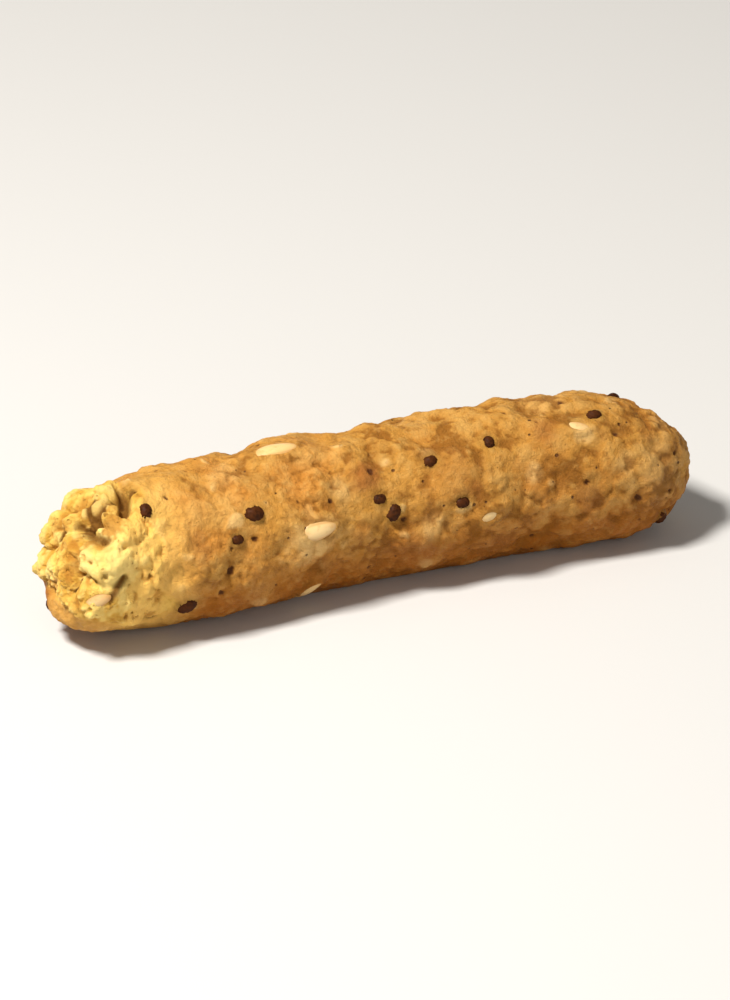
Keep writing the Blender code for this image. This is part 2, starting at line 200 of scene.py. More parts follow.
def smooth_baton(along, around):
    """Points of the smooth baton, and the directions in which relief stands out. along runs from 0 at
    the torn tip to 1 at the whole one, and around is the angle from the top towards the front."""
    arc, section_x, section_radius, section_lean, section_out = SECTION
    x = np.interp(along, arc, section_x)
    lean = np.interp(along, arc, section_lean)
    out = np.interp(along, arc, section_out)
    raised = 1 - underside(along, around)
    swell = sum(share * np.exp(-(((x - at) / width) ** 2)) for at, width, share in SWELLS)
    radius = np.interp(along, arc, section_radius) * (1 + swell * raised)
    bow = 1 - (x / (LENGTH / 2)) ** 2
    turn = TURN * (np.clip(x - LENGTH / 2 + TURN_RUN, 0, None) / TURN_RUN) ** 2
    y = BOW_BACK * (bow - BOW_MEAN) - turn - np.sin(around) * radius
    z = BOW_UP * bow * raised + np.cos(around) * radius
    torn_end = smooth_step(-x, LENGTH / 2 - 2 * TORN_CAP, LENGTH / 2)
    slant = TORN_SLANT * z * torn_end
    below = np.clip(-np.cos(around) * radius / (THICKNESS / 2), 0, 1)
    z = z + TORN_LIFT * below**2 * torn_end
    directions = np.stack([lean, -out * np.sin(around), out * np.cos(around)], axis=-1)
    return np.stack([x + slant, y, z + THICKNESS / 2 - FLAT_DEPTH], axis=-1), directions


def torn_share(points, around):
    """0 on the crust and 1 on the bare crumb, with a ragged edge between them."""
    reach = TORN_REACH + TORN_REACH_SWING * np.cos(around - TORN_REACH_AROUND)
    reach = reach + TORN_RAGGED * ripple(points, TORN_RAGGED_SIZE, 31)
    from_tip = points[..., 0] + LENGTH / 2
    over_lip = points[..., 2] - LIP_HEIGHT + LIP_SLOPE * from_tip
    broken = 1 - smooth_step(from_tip - reach, -TORN_EDGE / 2, TORN_EDGE / 2)
    return broken * smooth_step(over_lip, -TORN_EDGE / 2, TORN_EDGE / 2)


def lobes(points):
    """Height of the crumb: the highest of the lobes at each point, or CLEFT_FLOOR between them. A lobe
    drops with the cube of the distance from its middle, and the points are first shifted by a ripple
    along each axis, which pulls the lobes out of round."""
    shifts = [ripple(points, LOBE_WARP_SIZE, draw) for draw in (51, 52, 53)]
    warped = points + LOBE_WARP * np.stack(shifts, axis=-1)
    height = np.full(len(points), CLEFT_FLOOR)
    for x, around, reach, top in LOBES:
        centre = smooth_baton(np.array([along_at(x * MM)]), np.radians([around]))[0][0]
        distance = np.linalg.norm(warped - centre, axis=-1)
        height = np.maximum(height, top * MM - LOBE_DROP * (distance / (reach * MM)) ** 3)
    return height


def clefts(points):
    """Depth of the clefts, which falls off like a bell with the distance from each cleft's line."""
    depth = np.zeros(len(points))
    for deepest, half_width, places in CLEFTS:
        along = np.array([along_at(x * MM) for x, _ in places])
        nodes = smooth_baton(along, np.radians([around for _, around in places]))[0]
        for start, end in zip(nodes[:-1], nodes[1:]):
            run = end - start
            share = np.clip((points - start) @ run / (run @ run), 0, 1)
            distance = np.linalg.norm(points - start - share[:, None] * run, axis=-1)
            depth = np.maximum(depth, deepest * MM * np.exp(-((distance / (half_width * MM)) ** 2)))
    return depth


def relief(points, along, around):
    """Height over the smooth baton: lumps of a few sizes on the crust, and lobes and clefts on the
    torn end."""
    under = underside(along, around)
    lumps = sum(height * ripple(points, size, draw) for size, height, draw in LUMPS)
    lumps = lumps * (1 - (1 - UNDERSIDE_LUMPS) * under)
    torn = torn_share(points, around)
    return lumps + torn * (lobes(points) - clefts(points) - UNDER_RECESS * under)


def crust_at(along, around):
    """Points of the crust without its grain, and the directions in which its relief stands out. The
    middle of the finished stick is over the origin."""
    points, directions = smooth_baton(along, around)
    height = relief(points, along, around)
    return points + directions * height[..., None] - OFF_CENTRE, directions


def spot_point(along, around):
    """The point of the smooth baton at one place."""
    return smooth_baton(np.array([along]), np.array([around]))[0][0]


def spread_spots(spots, drawn, count, apart, others, random):
    """Adds spots drawn at random to those given, up to count of them. A draw is kept where it lies on
    crust, and clear of the flat, of the spots so far and of the other seeds."""
    found = [(along_at(x * MM), radians(around), radians(turn), size) for x, around, turn, size in spots]
    taken = [(spot_point(*spot[:2]), apart) for spot in found]
    taken += [(spot_point(*spot[:2]), POPPY_APART) for spot in others]
    low = (0, radians(drawn[0]), 0, SEED_SMALLEST)
    high = (SEEDS_TO, radians(drawn[1]), pi, SEED_LARGEST)
    draws = random.uniform(low, high, (SEED_DRAWS, 4))
    for draw, point in zip(draws, smooth_baton(draws[:, 0], draws[:, 1])[0]):
        on_crust = point[2] > SEEDS_CLEAR_OF_FLAT and point[0] > SEEDS_CLEAR_OF_CRUMB - LENGTH / 2
        clear = all(np.linalg.norm(point - other) > distance for other, distance in taken)
        if on_crust and clear and len(found) < count:
            found.append(tuple(draw))
            taken.append((point, apart))
    return found


def seated(spots, proud):
    """Where seeds sit: their middles, their axes (a 3 by 3 matrix for each, with the long axis, the
    short axis and the way out as its columns) and their sizes against the usual one."""
    along, around, turn, size = (np.array(column, dtype=float) for column in zip(*spots))
    points, out = crust_at(along, around)
    out = out / np.linalg.norm(out, axis=1, keepdims=True)
    guide = np.where(np.abs(out[:, :1]) < 0.9, (1.0, 0.0, 0.0), (0.0, 1.0, 0.0))
    side = guide - out * (out * guide).sum(axis=1, keepdims=True)
    side = side / np.linalg.norm(side, axis=1, keepdims=True)
    across = np.cross(out, side)
    cos, sin = np.cos(turn)[:, None], np.sin(turn)[:, None]
    axes = np.stack([side * cos + across * sin, across * cos - side * sin, out], axis=-1)
    return points + out * proud, axes, size


random = np.random.default_rng(SEED_DRAW)
sesame_spots = spread_spots(SESAME_SPOTS, SESAME_DRAWN, SESAME_COUNT, SESAME_APART, [], random)
poppy_spots = spread_spots(POPPY_SPOTS, POPPY_DRAWN, POPPY_COUNT, POPPY_APART, sesame_spots, random)
sesame_seats = seated(sesame_spots, SESAME_PROUD)
poppy_seats = seated(poppy_spots, POPPY_PROUD)


# The grain of the skin and of the crumb, which the solid leaves out. Each size is the height of a dome
# whose top is at 1, or the depth in the middle of a pit.
FLAKES = 0.14 * MM
BLISTERS = 0.11 * MM
PEBBLES = 0.075 * MM
SMALL_PEBBLES = 0.038 * MM
SKIN_TOOTH = 0.026 * MM
SKIN_PITS = 0.15 * MM
FACETS = 0.21 * MM
CRUMBS = 0.100 * MM
SMALL_CRUMBS = 0.060 * MM
CRUMB_TOOTH = 0.020 * MM
CRUMB_BUBBLES = 0.20 * MM
GRAIN_GAIN = 1.6  # brings gradient noise to about -1 to 1
GAP_FLOOR = -2.0  # the deepest that a gap between domes goes, on the same scale

# The dough round the seeds. How much of each sesame seed it laps over goes from 0 for bare to 1 for
# hidden. The bare part is an oval towards one side of the seed, which turns from seed to seed.
SESAME_COVERS = (0.12, 0.08, 0.35, 0.60, 0.80, 0.20, 0.30, 0.50, 0.15, 0.65, 0.40, 0.25, 0.55, 0.35)
BARE_ASIDE = 0.85  # how far aside the oval lies, against the most that fits
BARE_TURN = 2.4  # radians from seed to seed
COAT_RISE = 0.55 * MM  # how much higher the dough stands for each half width from the oval's edge
COAT_LOWEST = -0.22 * MM
COAT_HIGHEST = 0.12 * MM
COAT_PATCHY = 0.03 * MM
COLLAR_HEIGHT = 0.06 * MM  # over the seed's middle, at its outline
COLLAR_RUN = 0.30 * MM
POPPY_BARE = -0.15 * MM  # the dough's height over a poppy seed inside its rim, and at its rim
POPPY_LAP = 0.02 * MM
POPPY_PATCHY = 0.02 * MM
POPPY_RUN = 0.22 * MM
SEED_FACING = 0.3  # least cosine between a seed's way out and that of the crust beside it
SEED_REACH = 3  # half widths of a seed within which it moves the dough


def grain(points, size, draw):
    """Gradient noise between about -1 and 1, with cells of the given size: each corner of a cell has
    a random slope, and the slopes blend across the cell."""
    slopes = np.random.default_rng(draw).normal(size=(*BLOCK, 3))
    slopes /= np.linalg.norm(slopes, axis=-1, keepdims=True)
    place = points / size
    cell = np.floor(place).astype(int)
    inside = place - cell
    ease = inside**3 * (inside * (inside * 6 - 15) + 10)
    total = np.zeros(len(points))
    for corner in np.ndindex(2, 2, 2):
        at = (cell + corner) % LATTICE
        slope = slopes[at[:, 0], at[:, 1], at[:, 2]]
        weight = np.where(corner, ease, 1 - ease).prod(axis=1)
        total += weight * ((inside - corner) * slope).sum(axis=1)
    return total * GRAIN_GAIN


def shaken(points, reach, size, draw):
    """Points moved to and fro by grain, so that what is worked out from them turns ragged."""
    return points + reach * grain(points, size, draw)[:, None]


def nearby_cells(points, size, drawn):
    """Goes through the 27 cells in and round which each point lies. For each of them it gives the points
    as seen from the cell's corner, measured in cells, and the row of numbers drawn for that cell."""
    place = points / size
    cell = np.floor(place).astype(int)
    for step in np.ndindex(3, 3, 3):
        neighbour = cell + step - 1
        at = neighbour % LATTICE
        yield place - neighbour, drawn[at[:, 0], at[:, 1], at[:, 2]]


def domes(points, size, lowest, drop, draw, tilt):
    """Pebbles: the highest of many domes, whose middles are scattered one to a cell and whose tops lie
    between lowest and 1. Each falls by drop times the square of the distance in cells, so they meet in
    sharp gaps, and leans its own way by about tilt, which makes them angular."""
    random = np.random.default_rng(draw)
    scatter = random.random((*BLOCK, 4))
    leans = random.normal(size=(*BLOCK, 3)) * tilt
    height = np.full(len(points), GAP_FLOOR)
    for place, drawn in nearby_cells(points, size, np.concatenate([scatter, leans], axis=-1)):
        offset = place - drawn[:, :3]
        dome = lowest + (1 - lowest) * drawn[:, 3] - drop * (offset**2).sum(axis=1)
        height = np.maximum(height, dome + (offset * drawn[:, 4:]).sum(axis=1))
    return height


def specks(points, size, smallest, largest, share, draw):
    """1 at the middle of spots scattered at most one to a cell, falling to 0 at their edges. Only a
    share of the cells holds one, and their radii are drawn between smallest and largest."""
    scatter = np.random.default_rng(draw).random((*BLOCK, 5))
    closeness = np.zeros(len(points))
    for place, drawn in nearby_cells(points, size, scatter):
        distance = np.linalg.norm(place - drawn[:, :3], axis=1) * size
        radius = smallest + (largest - smallest) * drawn[:, 3] ** 2
        closeness = np.maximum(closeness, (1 - distance / radius) * (drawn[:, 4] < share))
    return closeness


def skin_relief(points):
    """The grain of the browned skin as heights, the share of each point that lies in a pit, and the
    share that lies on a blister. Leaning flakes stand higher towards the whole end, with round blisters
    and close pebbles of two sizes on them, and burst bubbles leave ragged pits."""
    x = points[:, 0]
    patches = 0.45 + 0.55 * smooth_step(grain(points, 4.2 * MM, 61), -0.45, 0.35)
    pebbly = patches * (0.65 + 0.35 * smooth_step(x, -9 * MM, 0))
    flaky = 0.35 + 0.65 * smooth_step(x, -3 * MM, 6 * MM)
    bent = shaken(points, 0.14 * MM, 0.5 * MM, 62)
    flakes = domes(bent, 1.35 * MM, lowest=0.0, drop=1.9, draw=67, tilt=0.7) - 0.4
    large = domes(bent, 0.62 * MM, lowest=0.0, drop=3.2, draw=63, tilt=0.35)
    small = domes(bent, 0.32 * MM, lowest=0.0, drop=3.0, draw=64, tilt=0.35)
    swollen = shaken(points, 0.22 * MM, 0.8 * MM, 68)
    blisters = specks(swollen, 2.1 * MM, smallest=0.4 * MM, largest=1.0 * MM, share=0.6, draw=60)
    blisters = smooth_step(blisters, 0.0, 0.8)
    ragged = shaken(points, 0.10 * MM, 0.26 * MM, 66)
    pits = specks(ragged, 1.25 * MM, smallest=0.13 * MM, largest=0.34 * MM, share=0.6, draw=69)
    pits = smooth_step(pits, 0.0, 0.65)
    height = FLAKES * flaky * flakes + BLISTERS * blisters
    height = height + pebbly * (PEBBLES * large + SMALL_PEBBLES * small)
    return height + SKIN_TOOTH * grain(points, 0.22 * MM, 65) - SKIN_PITS * pits, pits, blisters


def crumb_relief(points):
    """The grain of the torn crumb as heights, and the share of each point that lies in a bubble: leaning
    facets where it broke, angular crumbs of two sizes on them, and open bubbles. It is calmer towards
    the crust."""
    bent = shaken(points, 0.15 * MM, 0.6 * MM, 71)
    facets = domes(bent, 1.15 * MM, lowest=0.3, drop=1.6, draw=72, tilt=0.9) - 0.5
    large = domes(bent, 0.50 * MM, lowest=0.1, drop=2.6, draw=73, tilt=0.7)
    small = domes(bent, 0.27 * MM, lowest=0.0, drop=2.6, draw=75, tilt=0.7)
    ragged = shaken(points, 0.10 * MM, 0.22 * MM, 76)
    bubbles = specks(ragged, 0.70 * MM, smallest=0.10 * MM, largest=0.28 * MM, share=0.65, draw=70)
    bubbles = smooth_step(bubbles, 0.0, 0.6)
    height = FACETS * facets + (CRUMBS * large + SMALL_CRUMBS * small)
    height = height + CRUMB_TOOTH * grain(points, 0.15 * MM, 74) - CRUMB_BUBBLES * bubbles
    calmer = 1 - 0.35 * smooth_step(points[:, 0], -16.6 * MM, -15.2 * MM)
    return calmer * height, bubbles


def against_seed(points, directions, middle, axis, half):
    """Points set against a seed: their heights over its middle, their places across it and distances
    from its middle with its outline at 1, its dome's height there, how far beyond its outline they lie,
    and whether they are on its side of the stick."""
    local = (points - middle) @ axis
    across = local[:, :2] / half[:2]
    edge = np.hypot(across[:, 0], across[:, 1])
    dome = half[2] * np.sqrt(np.clip(1 - edge**2, 0, 1))
    beyond = np.clip(edge - 1, 0, None) * half[1]
    same_side = (directions @ axis[:, 2] > SEED_FACING) & (edge < SEED_REACH)
    return local[:, 2], across, edge, dome, beyond, same_side


def sesame_cover(points, directions):
    """How far the dough rises to lap over each sesame seed, and how near each point is to a seed. Over
    a seed the dough follows the seed's dome, below it in the bare oval and above it round that. Beside
    a seed it slopes down as a collar."""
    lift = np.zeros(len(points))
    near = np.zeros(len(points))
    patchy = grain(points, 0.62 * MM, 91) + 0.5 * grain(points, 0.3 * MM, 92)
    for index, (middle, axis, scale, cover) in enumerate(zip(*sesame_seats, SESAME_COVERS)):
        half = np.array(SESAME_SIZE) / 2 * scale
        over, across, edge, dome, beyond, same_side = against_seed(points, directions, middle, axis, half)
        bare = (1 - cover) ** 0.5
        way = np.array([np.cos(BARE_TURN * index), np.sin(BARE_TURN * index)])
        from_bare = np.linalg.norm(across - BARE_ASIDE * (1 - bare) * way, axis=1) - bare
        coat = np.clip(COAT_RISE * from_bare, COAT_LOWEST, COAT_HIGHEST) + COAT_PATCHY * patchy
        beside = np.exp(-((beyond / COLLAR_RUN) ** 2))
        rise = np.where(edge < 1, dome + coat - over, (COLLAR_HEIGHT - over) * beside)
        lift = np.maximum(lift, np.where(same_side, rise, 0))
        near = np.maximum(near, beside * same_side)
    return lift, near


def poppy_seat(points, directions):
    """How far the dough rises to lap over the rim of each poppy seed, unevenly, and how near each point
    is to one."""
    lift = np.zeros(len(points))
    near = np.zeros(len(points))
    patchy = grain(points, 0.4 * MM, 93)
    for middle, axis, scale in zip(*poppy_seats):
        half = np.array(POPPY_SIZE) / 2 * scale
        over, _, edge, dome, beyond, same_side = against_seed(points, directions, middle, axis, half)
        lap = POPPY_BARE + (POPPY_LAP - POPPY_BARE) * smooth_step(edge, 0.7, 1.0)
        rise = np.where((edge < 1) & same_side, dome + lap + POPPY_PATCHY * patchy - over, 0)
        lift = np.where(np.abs(rise) > np.abs(lift), rise, lift)
        near = np.maximum(near, np.exp(-((beyond / POPPY_RUN) ** 2)) * same_side)
    return lift, near


def by_vertex(grids):
    """Values on a closed mesh's grids in the order of its vertices: each shell's two tips, then its
    rings."""
    rings = grids[:, 1:-1].reshape(len(grids), -1, *grids.shape[3:])
    return np.concatenate([grids[:, [0, -1], 0], rings], axis=1)


def closed_mesh(name, grids):
    """One mesh of closed shells. grids holds a grid of points for each shell: its rows run from one
    tip to the other, its columns run round it, and its first and last rows are the two tips."""
    shells, rows, columns = grids.shape[:3]
    points = by_vertex(grids)
    ring = 2 + np.arange((rows - 2) * columns).reshape(rows - 2, columns)
    after = np.roll(ring, -1, axis=1)
    quads = np.stack([ring[:-1], after[:-1], after[1:], ring[1:]], axis=-1).reshape(-1, 4)
    start = np.stack([np.zeros(columns, dtype=int), after[0], ring[0]], axis=-1)
    end = np.stack([ring[-1], after[-1], np.ones(columns, dtype=int)], axis=-1)
    first = np.arange(shells)[:, None, None] * points.shape[1]
    fans = (first + np.concatenate([start, end])).reshape(-1, 3)
    quads = (first + quads).reshape(-1, 4)
    corners = np.concatenate([fans.ravel(), quads.ravel()])
    starts = np.concatenate([3 * np.arange(len(fans)), 3 * len(fans) + 4 * np.arange(len(quads))])
    mesh = bpy.data.meshes.new(name)
    mesh.vertices.add(shells * points.shape[1])
    mesh.vertices.foreach_set("co", points.ravel().astype(np.float32))
    mesh.loops.add(len(corners))
    mesh.loops.foreach_set("vertex_index", corners.astype(np.int32))
    mesh.polygons.add(len(starts))
    mesh.polygons.foreach_set("loop_start", starts.astype(np.int32))
    mesh.update(calc_edges=True)
    mesh.validate()
    mesh.shade_smooth()
    obj = bpy.data.objects.new(name, mesh)
    bpy.context.scene.collection.objects.link(obj)
    return obj


def point_attribute(obj, name, grids):
    """Stores a number for each vertex of a closed mesh, from values on the same grids as its points."""
    attribute = obj.data.attributes.new(name, "FLOAT", "POINT")
    attribute.data.foreach_set("value", by_vertex(grids).ravel().astype(np.float32))


def set_inputs(tree, node, inputs):
    """Sets a node's inputs, which are given by name or place, each to a value or a socket."""
    for name, value in inputs.items():
        if isinstance(value, bpy.types.NodeSocket):
            tree.links.new(value, node.inputs[name])
        else:
            node.inputs[name].default_value = value


def set_shader(tree, inputs):
    """Sets inputs of a material's shader."""
    set_inputs(tree, tree.nodes["Principled BSDF"], inputs)


def add_node(tree, kind, inputs, **settings):
    """A node with these inputs and settings."""
    node = tree.nodes.new(kind)
    for name, value in settings.items():
        setattr(node, name, value)
    set_inputs(tree, node, inputs)
    return node


def start_material(name):
    """A material, its node tree and the object's own coordinates."""
    material = bpy.data.materials.new(name)
    material.use_nodes = True
    place = add_node(material.node_tree, "ShaderNodeTexCoord", {}).outputs["Object"]
    return material, material.node_tree, place


def noise(tree, place, size, detail=2.0, roughness=0.5):
    """Smooth random values round 0.5, with features of about this size in metres."""
    inputs = {"Vector": place, "Scale": 0.5 / size, "Detail": detail, "Roughness": roughness}
    return add_node(tree, "ShaderNodeTexNoise", inputs).outputs["Fac"]


def stored(tree, name):
    """A number that the mesh stores at each vertex."""
    return add_node(tree, "ShaderNodeAttribute", {}, attribute_name=name).outputs["Fac"]


def remap(tree, value, low, high, to_low=0.0, to_high=1.0):
    """Maps low to to_low and high to to_high with an S-shaped rise, and holds them outside."""
    inputs = {0: value, 1: low, 2: high, 3: to_low, 4: to_high}
    return add_node(tree, "ShaderNodeMapRange", inputs, interpolation_type="SMOOTHSTEP").outputs[0]


def times(tree, first, second):
    """The product of two numbers."""
    return add_node(tree, "ShaderNodeMath", {0: first, 1: second}, operation="MULTIPLY").outputs[0]


def blend(tree, share, first, second):
    """Two colours mixed by share, 0 being the first."""
    first = (*first, 1.0) if isinstance(first, tuple) else first
    second = (*second, 1.0) if isinstance(second, tuple) else second
    inputs = {"Factor": share, 6: first, 7: second}
    return add_node(tree, "ShaderNodeMix", inputs, data_type="RGBA").outputs[2]


def layered(tree, colour, *layers):
    """A colour with others laid over it in turn, each given as its share and the colour."""
    for share, over in layers:
        colour = blend(tree, share, colour, over)
    return colour


def bump(tree, height, distance):
    """A normal from a height between 0 and 1, which stands for this distance in metres."""
    inputs = {"Height": height, "Distance": distance, "Strength": 1.0}
    return add_node(tree, "ShaderNodeBump", inputs).outputs["Normal"]


# The colours of the skin and of the crumb, as linear red, green and blue.
GOLDEN = (0.560, 0.260, 0.040)
YELLOW = (0.720, 0.410, 0.110)
ORANGE = (0.560, 0.225, 0.032)
TAN = (0.460, 0.230, 0.046)
PALE_TAN = (0.820, 0.520, 0.190)
BROWN = (0.260, 0.092, 0.005)
# Painted shade: the brown that the skin takes low on its sides.
LOW_SIDE_SHADE = (0.360, 0.106, 0.003)
# Painted shade in pits and holes.
PIT_SHADE_BROWN = (0.085, 0.024, 0.004)
TOASTED = (0.330, 0.110, 0.016)
# Painted shade round the seeds.
SEED_SHADE_OLIVE = (0.300, 0.170, 0.028)
RIM = (0.960, 0.575, 0.135)
# Painted light on the crumb's lobes and crests.
CRUMB_LIT_YELLOW = (0.980, 0.735, 0.240)
CRUMB_PALE = (0.870, 0.548, 0.115)
CRUMB_DEEP = (0.640, 0.340, 0.045)
# Painted shade on the crumb: its hollows and holes.
CRUMB_SHADE_BROWN = (0.480, 0.200, 0.020)
# Painted shade in the crumb's clefts and bubbles.
CRUMB_CLEFT_SHADE = (0.190, 0.078, 0.007)
LIGHT_SHIFT = (0.05, 0.02, 0.07)  # in metres, from the noise of the warm patches to that of the light


def pinholes(tree, place, size, smallest, largest, share):
    """1 in round holes scattered one to a cell in a share of the cells, 0 outside them. Sizes and radii
    are in metres."""
    cells = add_node(tree, "ShaderNodeTexVoronoi", {"Vector": place, "Scale": 1 / size})
    drawn = add_node(tree, "ShaderNodeSeparateColor", {0: cells.outputs["Color"]})
    radius = remap(tree, drawn.outputs[0], 0.0, 1.0, smallest / size, largest / size)
    parts = {0: cells.outputs["Distance"], 1: radius}
    from_middle = add_node(tree, "ShaderNodeMath", parts, operation="DIVIDE").outputs[0]
    chosen = remap(tree, drawn.outputs[1], share, share - 0.01)
    return times(tree, remap(tree, from_middle, 1.0, 0.5), chosen)


def skin_colour(tree, place, holes):
    """Golden with yellow, orange and tan patches, browner low on its sides and towards the whole end
    by painted shade, with painted highlight on its pebbles and painted shade between them, toasted or
    floury in a few places, paler towards the torn end, and painted shade darkest in its pits and holes."""
    warm = noise(tree, place, 2.6 * MM, 3, 0.5)
    moved = add_node(tree, "ShaderNodeMapping", {0: place, 1: LIGHT_SHIFT}).outputs[0]
    light = noise(tree, moved, 1.5 * MM, 4, 0.6)
    mottle = noise(tree, place, 0.30 * MM, 3, 0.65)
    axes = add_node(tree, "ShaderNodeSeparateXYZ", {0: place}).outputs
    # Painted shade: the skin is browner low on its sides, for the brown light and shade that fall there.
    low_down = remap(tree, axes["Z"], 4.5 * MM, 1.2 * MM)
    crest = stored(tree, "crest")
    return layered(
        tree,
        blend(tree, remap(tree, warm, 0.38, 0.66), GOLDEN, ORANGE),
        (remap(tree, light, 0.48, 0.72, 0.0, 0.55), YELLOW),
        (remap(tree, light, 0.50, 0.30, 0.0, 0.85), TAN),
        # Painted shade low on its sides.
        (times(tree, low_down, remap(tree, light, 0.35, 0.70, 1.0, 0.75)), LOW_SIDE_SHADE),
        # Painted shade browns the hollows of the grain, and painted highlight yellows its crests and the
        # tops of the pale blisters.
        (remap(tree, crest, 0.50, 0.0, 0.0, 0.85), BROWN),
        (remap(tree, crest, 0.50, 1.0, 0.0, 0.40), YELLOW),
        (times(tree, remap(tree, stored(tree, "blister"), 0.1, 0.8, 0.0, 0.7), crest), PALE_TAN),
        (remap(tree, mottle, 0.47, 0.30, 0.0, 0.50), BROWN),
        (remap(tree, mottle, 0.52, 0.72, 0.0, 0.30), YELLOW),
        # Painted shade: browner towards the whole end, as if the light fell off along the stick.
        (remap(tree, axes["X"], -8 * MM, 10 * MM, 0.0, 0.16), BROWN),
        # More painted shade low on its sides.
        (times(tree, low_down, 0.35), LOW_SIDE_SHADE),
        (stored(tree, "toasted"), TOASTED),
        (times(tree, stored(tree, "floury"), remap(tree, crest, 0.0, 0.7, 0.25, 0.85)), PALE_TAN),
        (stored(tree, "pale"), RIM),
        # Painted shade round the seeds.
        (times(tree, stored(tree, "seed_shade"), 0.30), SEED_SHADE_OLIVE),
        # Painted shade: darkest in the pits and pinholes.
        (remap(tree, stored(tree, "pitted"), 0.1, 0.8, 0.0, 0.9), PIT_SHADE_BROWN),
        (times(tree, holes, 0.9), PIT_SHADE_BROWN),
    )


def crumb_colour(tree, place, holes):
    """Yellow curds, with painted light on the lobes and crests and painted shade browning the hollows and
    holes, and dark brown painted shade in the clefts and bubbles."""
    curds = noise(tree, place, 0.8 * MM, 3, 0.6)
    crest = stored(tree, "crest")
    return layered(
        tree,
        blend(tree, remap(tree, curds, 0.40, 0.58), CRUMB_DEEP, CRUMB_PALE),
        # Painted light on the listed lobes.
        (stored(tree, "floury"), CRUMB_LIT_YELLOW),
        (remap(tree, stored(tree, "pale"), 0.5, 0.8, 0.0, 0.75), RIM),
        # Painted shade in the listed hollows.
        (stored(tree, "toasted"), CRUMB_SHADE_BROWN),
        # Painted shade in the hollows of the grain, and painted light on its crests.
        (remap(tree, crest, 0.45, 0.0, 0.0, 0.8), CRUMB_SHADE_BROWN),
        (remap(tree, crest, 0.60, 1.0, 0.0, 0.5), CRUMB_LIT_YELLOW),
        # Painted shade in the clefts and between the lobes.
        (remap(tree, stored(tree, "cleft"), 0.15, 0.75), CRUMB_CLEFT_SHADE),
        # Painted shade in the crumb's bubbles and holes.
        (remap(tree, stored(tree, "pitted"), 0.2, 0.9, 0.0, 0.5), CRUMB_CLEFT_SHADE),
        (times(tree, holes, 0.4), CRUMB_SHADE_BROWN),
    )


def crust_material():
    """The skin's colour and the crumb's, which meet at the torn edge. Both are oily in patches, with a
    fine tooth and small holes."""
    material, tree, place = start_material("browned_crust")
    torn = stored(tree, "torn")
    skin_holes = pinholes(tree, place, 0.85 * MM, 0.04 * MM, 0.13 * MM, 0.55)
    crumb_holes = pinholes(tree, place, 0.42 * MM, 0.04 * MM, 0.10 * MM, 0.7)
    skin = skin_colour(tree, place, skin_holes)
    crumb = crumb_colour(tree, place, crumb_holes)
    oily = noise(tree, place, 0.7 * MM, 3, 0.6)
    tooth = noise(tree, place, 0.28 * MM, 6, 0.72)
    holes = blend(tree, torn, skin_holes, crumb_holes)
    set_shader(tree, {
        "Base Color": blend(tree, torn, skin, crumb),
        "Roughness": remap(tree, oily, 0.35, 0.65, 0.48, 0.80),
        "Normal": bump(tree, blend(tree, holes, tooth, (0.0, 0.0, 0.0)), 0.32 * MM),
        "Specular IOR Level": 0.22,
        "Subsurface Weight": 0.04,
        "Subsurface Radius": (1.0, 0.5, 0.2),
        "Subsurface Scale": 0.3 * MM,
    })
    return material


# Places of another colour: x in millimetres, angle from the top towards the front in degrees, radius in
# millimetres, and strength. The crust is toasted in some places and floury in others. On the crumb,
# painted shade browns its hollows and painted light brightens its lobes.
TOASTED_SPOTS = (
    (-1.1, 40, 1.3, 0.80), (-11.8, 66, 0.9, 0.45), (4.6, 66, 0.8, 0.40), (9.6, 31, 0.9, 0.45),
    (1.2, 108, 1.6, 0.45), (11.5, 88, 1.1, 0.45), (6.0, 122, 1.4, 0.40), (-2.1, 84, 0.9, 0.40),
    (-8.7, 121, 1.3, 0.35), (-7.5, 205, 1.6, 0.50), (5.0, 240, 1.9, 0.55), (13.5, 190, 1.8, 0.50),
    (-2.5, 285, 1.4, 0.45), (15.8, 36, 0.8, 0.25), (3.7, 50, 2.0, 0.28),
)
FLOURY_SPOTS = (
    (8.4, 62, 0.7, 0.80), (11.8, 39, 0.7, 0.70), (2.7, 31, 0.5, 0.80), (13.8, 62, 0.9, 0.50),
    (16.9, 20, 0.8, 0.50), (-2.8, 47, 0.9, 0.45), (-5.1, 143, 0.7, 0.90), (2.1, 88, 1.0, 0.50),
    (-8.8, 11, 1.3, 0.35), (10.8, 350, 1.5, 0.35), (-4.8, 82, 1.7, 0.85), (16.4, 78, 2.4, 0.35),
    (-10.5, 235, 1.5, 0.50), (1.5, 200, 1.7, 0.50), (9.5, 275, 1.6, 0.50), (-4.0, 320, 1.3, 0.50),
)
# Painted shade in hollows of the crumb.
CRUMB_SHADE_SPOTS = (
    (-17.5, 8, 1.1, 0.90), (-18.6, 342, 0.8, 0.85), (-18.5, 100, 0.7, 0.45), (-17.4, 240, 1.1, 0.60),
    (-15.6, 300, 0.9, 0.50), (-18.6, 25, 0.5, 0.75), (-18.1, 37, 0.45, 0.75), (-17.6, 45, 0.4, 0.60),
    (-18.95, 240, 0.6, 0.80), (-18.98, 150, 0.6, 0.80),
)
# Painted light on lobes of the crumb.
CRUMB_LIT_SPOTS = (
    (-17.1, 38, 1.0, 0.90), (-18.3, 54, 1.2, 0.95), (-19.0, 60, 1.2, 0.85), (-17.0, 70, 0.8, 0.70),
    (-16.2, 58, 1.4, 0.70), (-18.8, 331, 0.7, 0.60), (-15.9, 352, 0.9, 0.60), (-16.6, 210, 1.1, 0.60),
    (-17.0, 265, 1.1, 0.60),
)
SPOT_CORE = 0.35  # of a spot's radius, within which it is at full strength
SPOT_EDGE = 1.1


